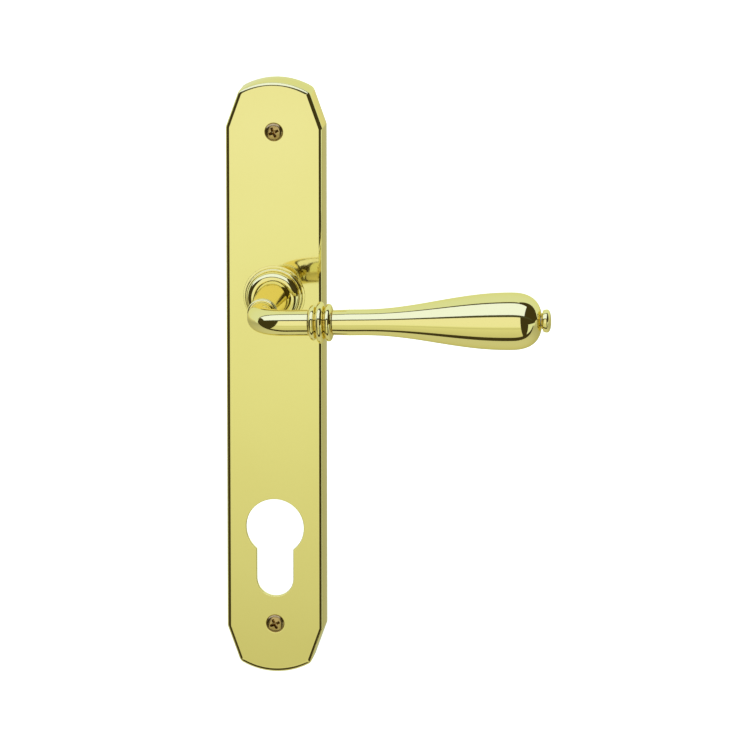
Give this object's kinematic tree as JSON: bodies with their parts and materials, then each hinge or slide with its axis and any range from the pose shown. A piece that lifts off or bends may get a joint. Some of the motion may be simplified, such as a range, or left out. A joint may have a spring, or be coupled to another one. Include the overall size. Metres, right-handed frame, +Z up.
{
  "type": "door lever handle on a long backplate",
  "caption": "Brass door lever handle on a long hollow backplate with a euro-profile cylinder cut-out, turned collar, beaded club grip, square spindle and torsion return spring.",
  "frame": {"origin": "where the spindle axis meets the door face", "axes": "+Z up along the backplate, +X along the lever at rest, +Y into the door along the spindle, so the hand is on the -Y side"},
  "size_m": [0.1316, 0.1361, 0.234],
  "materials": {
    "polished_brass": "mirror polished and lacquered",
    "inner_brass": "as turned",
    "screw_brass": "plated, slightly coppery",
    "carrier_nylon": "moulded, fine texture",
    "bearing_nylon": "smooth",
    "plain_steel": "zinc plated",
    "spring_steel": "oiled",
    "cast_zinc": "as cast"
  },
  "bodies": {
    "plate": {"face_plate": "polished_brass", "sub_plate": "carrier_nylon", "guide_collar": "polished_brass", "collar_nut": "inner_brass", "collar_bush": "bearing_nylon", "spring_housing": "plain_steel", "spring_cover": "plain_steel", "return_spring": "spring_steel", "stop_pin_rest": "plain_steel", "stop_pin_down": "plain_steel", "housing_screw_upper": "plain_steel", "housing_screw_lower": "plain_steel", "fixing_screw_top": "screw_brass", "fixing_screw_bottom": "screw_brass"},
    "lever": {"lever_neck": "polished_brass", "bead_ring": "polished_brass", "grip": "polished_brass", "grip_stud": "plain_steel", "finial": "polished_brass", "spindle": "plain_steel", "spindle_set_screw": "plain_steel", "thrust_washer": "inner_brass", "retaining_ring": "spring_steel", "spring_driver": "cast_zinc"}
  },
  "joints": [
    {"name": "lever_turn", "type": "hinge", "parent": "plate", "child": "lever", "pos_m": [0, 0, 0], "axis": [0, 1, 0], "range_deg": [0, 40], "stiffness_Nm_per_rad": 1, "springref_deg": -28.65, "deforming": ["return_spring"]}
  ]
}
